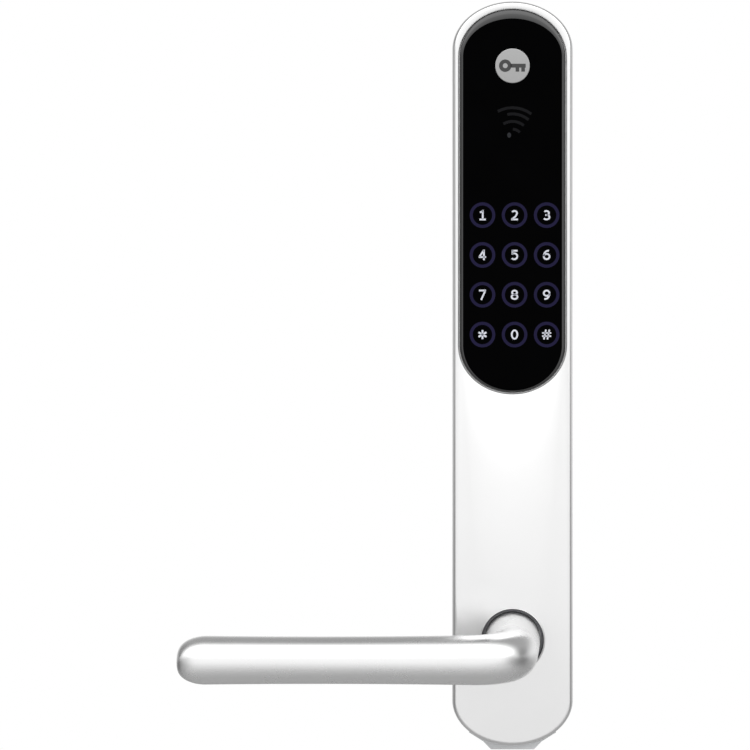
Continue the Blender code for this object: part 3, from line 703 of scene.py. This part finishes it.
def key_places():
    """Each key's name and centre, from its light's packed place."""
    names = [str(number) for number in range(10)] + ["star", "hash"]
    for name in names:
        at = middle(f"key_led_{name}")
        yield name, (at.x, at.z)


def bar(shape, centre, along, across, angle, surface):
    """A printed bar through centre, its length along the angle in degrees."""
    c, s = math.cos(math.radians(angle)), math.sin(math.radians(angle))
    corners = []
    for u, v in ((1, -1), (1, 1), (-1, 1), (-1, -1)):
        du, dv = u * along / 2, v * across / 2
        corners.append((centre[0] + du * c - dv * s, centre[1] + du * s + dv * c))
    slab(shape, corners, surface)


def star_sign(shape, centre, surface):
    for angle in (30, 90, 150):
        bar(shape, centre, *STAR_BAR, angle, surface)


def hash_sign(shape, centre, surface):
    x, z = centre
    lean = 78
    for side in (-1, 1):
        bar(shape, (x + side * 0.68, z), *HASH_UPRIGHT, lean, surface)
        bar(shape, (x, z + side * 0.62), *HASH_LEVEL, 0, surface)


def arc(centre, radii, start, end):
    """Points along an ellipse's arc, its angles in degrees."""
    steps = max(2, round(abs(end - start) / 9))
    points = []
    for k in range(steps + 1):
        angle = math.radians(start + (end - start) * k / steps)
        points.append((centre[0] + radii[0] * math.cos(angle), centre[1] + radii[1] * math.sin(angle)))
    return points


def stroke_sides(before, point, after, width):
    """The points to the left and to the right of a path's point, half the width away from it."""
    along = Vector((after[0] - before[0], after[1] - before[1])).normalized() * width / 2
    x, z = point
    return (x - along.y, z + along.x), (x + along.y, z - along.x)


def ribbon(path, width):
    """The outline of a stroke of that width along an open path."""
    last = len(path) - 1
    pairs = []
    for k, point in enumerate(path):
        pairs.append(stroke_sides(path[max(k - 1, 0)], point, path[min(k + 1, last)], width))
    left, right = zip(*pairs)
    return [*right, *reversed(left)]


def hoop(path, width):
    """The outer and inner outlines of a stroke of that width round a closed path, anticlockwise."""
    count = len(path)
    pairs = []
    for k, point in enumerate(path):
        pairs.append(stroke_sides(path[k - 1], point, path[(k + 1) % count], width))
    inner, outer = zip(*pairs)
    return outer, inner


def digit_strokes(name):
    """The strokes of a bold digit 4 mm high, about its middle."""
    if name == "0":
        return [arc((0.0, 0.0), (1.08, 1.62), 0, 360)]
    if name == "1":
        flag = [(-1.0, 1.12), (-0.35, 1.25), (0.1, 1.8)]
        return [[(0.1, -1.6), (0.1, 2.0)], [(-1.15, -1.66), (1.3, -1.66)], flag]
    if name == "2":
        curl = arc((-0.05, 0.75), (1.0, 0.88), 150, -25)
        return [[*curl, (0.3, -0.55), (-1.0, -1.55)], [(-1.3, -1.64), (1.3, -1.64)]]
    if name == "3":
        upper = arc((-0.1, 0.82), (1.0, 0.80), 140, -90)
        lower = arc((-0.1, -0.78), (1.2, 0.86), 90, -145)
        return [upper, lower, [(-0.55, 0.03), (0.0, 0.03)]]
    if name == "4":
        return [[(0.55, -2.0), (0.55, 2.0)], [(-1.45, -0.8), (1.4, -0.8)], [(0.5, 1.75), (-1.2, -0.7)]]
    if name == "5":
        bowl = arc((-0.15, -0.52), (1.2, 1.14), 125, -140)
        return [[(-0.95, 1.64), (1.15, 1.64)], [(-0.8, 2.0), (-0.8, 0.15)], bowl]
    if name == "7":
        return [[(-1.35, 1.64), (1.35, 1.64)], [(1.1, 1.6), (-0.5, -2.0)]]
    if name == "8":
        return [arc((0.0, 0.86), (0.95, 0.76), 0, 360), arc((0.0, -0.8), (1.12, 0.84), 0, 360)]
    six = [arc((0.0, -0.6), (1.1, 1.02), 0, 360), arc((0.6, -0.5), (1.7, 2.14), 180, 80)]
    if name == "6":
        return six
    return [[(-x, -z) for x, z in path] for path in six]


def moved(outline, centre):
    return [(centre[0] + x, centre[1] + z) for x, z in outline]


def digit(name, centre, surface, material):
    shape = bmesh.new()
    for path in digit_strokes(name):
        if math.dist(path[0], path[-1]) < CLOSED:
            outer, inner = hoop(path[:-1], LEGEND_STROKE)
            slab(shape, moved(outer, centre), surface, hole=moved(inner, centre))
        else:
            slab(shape, moved(ribbon(path, LEGEND_STROKE), centre), surface)
    piece(f"legend_{name}", shape, material, "escutcheon", "key_light")


def key_print(finishes):
    surface = span("keypad_panel")[0].y
    rings, signs = bmesh.new(), bmesh.new()
    for name, centre in key_places():
        slab(rings, circle(RING_OUTER, centre), surface, hole=circle(RING_INNER, centre))
        if name == "star":
            star_sign(signs, centre, surface)
        elif name == "hash":
            hash_sign(signs, centre, surface)
        else:
            digit(name, centre, surface, finishes["key_light"])
    piece("key_rings", rings, matte_print("ring_print", (0.012, 0.010, 0.036)), "escutcheon", "gloss_black")
    piece("key_signs", signs, finishes["key_light"], "escutcheon", "key_light")


def card_mark():
    """Waves spreading from a dot: where a card is held."""
    surface = span("keypad_panel")[0].y
    coil = middle("rfid_antenna")
    dot = (coil.x - 1.3, coil.z - 1.0)
    source = (dot[0] + 1.3, dot[1] - 1.5)
    waves = bmesh.new()
    for radius, start, end in CARD_WAVES:
        slab(waves, ribbon(arc(source, (radius, radius), start, end), WAVE_STROKE), surface)
    wave_print = matte_print("faint_print", (0.006, 0.006, 0.007))
    piece("card_waves", waves, wave_print, "escutcheon", "gloss_black")
    middle_dot = bmesh.new()
    slab(middle_dot, [(dot[0] + x * 0.75, dot[1] + z) for x, z in circle(1.0, steps=32)], surface)
    dot_print = matte_print("bright_print", (0.022, 0.023, 0.026))
    piece("card_dot", middle_dot, dot_print, "escutcheon", "gloss_black")


# Terminal block


def terminal_lip(finishes):
    """The grey lip that hugs the plate's lower arch, with its edges rounded."""
    low, high = span("terminal_block")
    half = LIP_SHOULDER[0]
    arch = [(x, z) for x, z in plate_outline(-GAP) if z < 0.0 and abs(x) <= half]
    arch.sort(key=lambda point: point[0])
    right_side = [(LIP_FOOT_HALF, low.z), LIP_KNEE, LIP_SHOULDER]
    corners = [*right_side, *reversed(arch), *[(-x, z) for x, z in reversed(right_side)]]
    shape = bmesh.new()
    rear, front = walls(shape, [(corners, high.y), (corners, low.y)])
    pave(shape, rear)
    pave(shape, front)
    mesh = shell_mesh("terminal_lip", shape)
    for side in ("left", "right"):
        node = f"battery_contact_{side}"
        pin = middle(node)
        radius = half_width(node) + GAP
        mesh = cut_mesh(mesh, upright_drum(radius, (pin.x, pin.y), low.z - 2.0, low.z + 12.0, 32))
    material = finishes["grey_plastic"]
    lip = piece("terminal_lip", mesh, material, "escutcheon", "grey_plastic", "terminal_block")
    bevel = lip.modifiers.new("rounding", "BEVEL")
    bevel.width = 0.00035
    bevel.segments = 4
    bevel.limit_method = "ANGLE"
    bevel.angle_limit = math.radians(40)


# Lever


def waisted(share):
    """The grip's radius at a share of its length, a curve through its three radii."""
    sag = (GRIP_RADIUS + TIP_RADIUS) / 2 - WAIST_RADIUS
    return GRIP_RADIUS + (TIP_RADIUS - GRIP_RADIUS) * share - 4 * sag * share * (1 - share)


def lever_stations():
    """Rings from the tail to the tip: (centre, direction, radius)."""
    low, _ = span("lever_handle")
    grip_y = low.y + GRIP_RADIUS
    back = (0.0, -1.0)
    for y, radius in TURNED_TAIL:
        yield (0.0, y), back, radius
    neck_start = TURNED_TAIL[-1][0]
    neck_end = grip_y + BEND_RADIUS
    neck_steps = 9
    for k in range(1, neck_steps):
        share = k / neck_steps
        y = neck_start + (neck_end - neck_start) * share
        yield (0.0, y), back, COLLAR_RADIUS + (NECK_RADIUS - COLLAR_RADIUS) * share
    bend_steps = 36
    for k in range(bend_steps + 1):
        turn = math.pi / 2 * k / bend_steps
        centre = (-BEND_RADIUS * (1 - math.cos(turn)), neck_end - BEND_RADIUS * math.sin(turn))
        along = (-math.sin(turn), -math.cos(turn))
        yield centre, along, NECK_RADIUS + (GRIP_RADIUS - NECK_RADIUS) * k / bend_steps
    start, end = -BEND_RADIUS, low.x + TIP_ROUND
    grip_steps = 24
    for k in range(1, grip_steps + 1):
        share = k / grip_steps
        yield (start + (end - start) * share, grip_y), (-1.0, 0.0), waisted(share)
    tip_steps = 20
    for k in range(1, tip_steps + 1):
        turn = math.pi / 2 * k / tip_steps
        radius = TIP_FLAT + (TIP_RADIUS - TIP_FLAT) * math.cos(turn)
        yield (end - TIP_ROUND * math.sin(turn), grip_y), (-1.0, 0.0), radius


def lever_skin(finishes):
    """The lever as one smooth tube, with its socket for the spindle and its grub screw's hole."""
    shape = bmesh.new()
    rings = []
    for (cx, cy), (dx, dy), radius in lever_stations():
        points = [metres(cx - dy * across, cy + dx * across, up) for across, up in circle(radius, steps=80)]
        rings.append([shape.verts.new(point) for point in points])
    for near, far in zip(rings, rings[1:]):
        wall(shape, near, far)
    shape.faces.new(rings[-1])
    low, high = span("spindle")
    half = high.x + GAP
    socket = rectangle(-half, half, -half, half)
    tail_end = TURNED_TAIL[0][0]
    mouth, end = walls(shape, [(socket, tail_end), (socket, low.y - GAP)])
    pave(shape, rings[0], mouth)
    shape.faces.new(end)
    mesh = shell_mesh("lever_skin", shape)
    grub = middle("grub_screw")
    radius = half_width("grub_screw") + GAP
    below, into_socket = -14.0, -half + 0.1
    mesh = cut_mesh(mesh, upright_drum(radius, (grub.x, grub.y), below, into_socket, 40))
    piece("lever_skin", mesh, satin_metal("lever_metal", 0.27), "lever", "satin_metal", "lever_handle")


# Studio


def camera():
    data = bpy.data.cameras.new("camera")
    data.sensor_width = SENSOR
    data.lens = LENS
    data.shift_x = SHIFT_X
    thing = bpy.data.objects.new("camera", data)
    front = span("housing_shell")[0].y
    thing.location = metres(0.0, front - CAMERA_DISTANCE, CAMERA_HEIGHT)
    thing.rotation_euler = (math.pi / 2, 0.0, 0.0)
    bpy.context.scene.collection.objects.link(thing)
    bpy.context.scene.camera = thing


class WorldLight:
    """The world's shader nodes, with helpers that work out a light's strength from its direction."""

    def __init__(self):
        world = bpy.data.worlds.new("studio")
        bpy.context.scene.world = world
        world.use_nodes = True
        self.tree = world.node_tree
        self.tree.nodes.clear()
        place = self.add("ShaderNodeTexCoord")
        self.axes = self.add("ShaderNodeSeparateXYZ")
        self.join(place.outputs["Generated"], self.axes.inputs["Vector"])

    def add(self, kind, **values):
        made = self.tree.nodes.new(kind)
        for socket, value in values.items():
            made.inputs[socket.replace("_", " ")].default_value = value
        return made

    def join(self, output, socket):
        self.tree.links.new(output, socket)

    def maths(self, operation, first, second):
        made = self.add("ShaderNodeMath")
        made.operation = operation
        for value, socket in ((first, made.inputs[0]), (second, made.inputs[1])):
            if isinstance(value, float):
                socket.default_value = value
            else:
                self.join(value, socket)
        return made.outputs[0]

    def curve(self, value, low, high, stops):
        """A smooth function through (value, result) stops, read between low and high."""
        reach = self.add("ShaderNodeMapRange", From_Min=low, From_Max=high)
        self.join(value, reach.inputs["Value"])
        ramp = self.add("ShaderNodeValToRGB")
        ramp.color_ramp.interpolation = "EASE"
        while len(ramp.color_ramp.elements) < len(stops):
            ramp.color_ramp.elements.new(0.5)
        for element, (at, result) in zip(ramp.color_ramp.elements, stops):
            element.position = (at - low) / (high - low)
            element.color = (result, result, result, 1.0)
        self.join(reach.outputs["Result"], ramp.inputs["Fac"])
        return ramp.outputs["Color"]


def studio_world():
    """White where the camera looks past the object. What lights it is a tent, by direction."""
    light = WorldLight()
    x, y, z = (light.axes.outputs[axis] for axis in "XYZ")
    turn = light.maths("ARCTAN2", z, light.maths("MULTIPLY", y, -1.0))
    height = light.maths("MULTIPLY", turn, 180 / math.pi)
    tent = light.curve(height, -180.0, 180.0, [(at, value / TENT_PEAK) for at, value in TENT])
    sides = light.curve(x, -1.0, 1.0, SIDES)
    total = light.maths("MULTIPLY", tent, sides)
    glow = light.add("ShaderNodeBackground")
    light.join(light.maths("MULTIPLY", total, TENT_PEAK), glow.inputs["Strength"])
    white = light.add("ShaderNodeBackground", Strength=1.0)
    for shader in (glow, white):
        shader.inputs["Color"].default_value = (1.0, 1.0, 1.0, 1.0)
    path = light.add("ShaderNodeLightPath")
    mix = light.add("ShaderNodeMixShader")
    light.join(path.outputs["Is Camera Ray"], mix.inputs["Fac"])
    light.join(glow.outputs["Background"], mix.inputs[1])
    light.join(white.outputs["Background"], mix.inputs[2])
    out = light.add("ShaderNodeOutputWorld")
    light.join(mix.outputs["Shader"], out.inputs["Surface"])


def floor():
    """A pale round floor that fades out at its rim."""
    finish = grained("floor_paper", (0.38, 0.38, 0.38), 0.8, 400.0, 0.05, vary=0.02)
    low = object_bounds()[0] * 1000
    away = finish.node("ShaderNodeVectorMath", {0: finish.place})
    away.operation = "LENGTH"
    fade = finish.node("ShaderNodeMapRange", {"Value": away.outputs["Value"]})
    fade.inputs["From Min"].default_value = FLOOR_SOLID * 0.001
    fade.inputs["From Max"].default_value = FLOOR_REACH * 0.001
    fade.inputs["To Min"].default_value = 1.0
    fade.inputs["To Max"].default_value = 0.0
    finish.feed("Alpha", fade.outputs["Result"])
    shape = bmesh.new()
    shape.faces.new([shape.verts.new(metres(x, y, 0.0)) for x, y in circle(FLOOR_REACH, steps=96)])
    mesh = shell_mesh("floor", shape)
    mesh.materials.append(finish.material)
    thing = bpy.data.objects.new("floor", mesh)
    thing.location = metres(0.0, 0.0, low.z - FLOOR_DROP)
    bpy.context.scene.collection.objects.link(thing)
    thing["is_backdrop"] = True


def studio():
    camera()
    studio_world()
    floor()
    bpy.context.scene.view_settings.view_transform = "Standard"


def main():
    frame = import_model()
    finishes = make_finishes()
    dress_packed_nodes(frame, finishes)
    studio()
    housing_skin(finishes)
    keypad_glass(finishes)
    badge(finishes)
    key_print(finishes)
    card_mark()
    terminal_lip(finishes)
    lever_skin(finishes)


main()
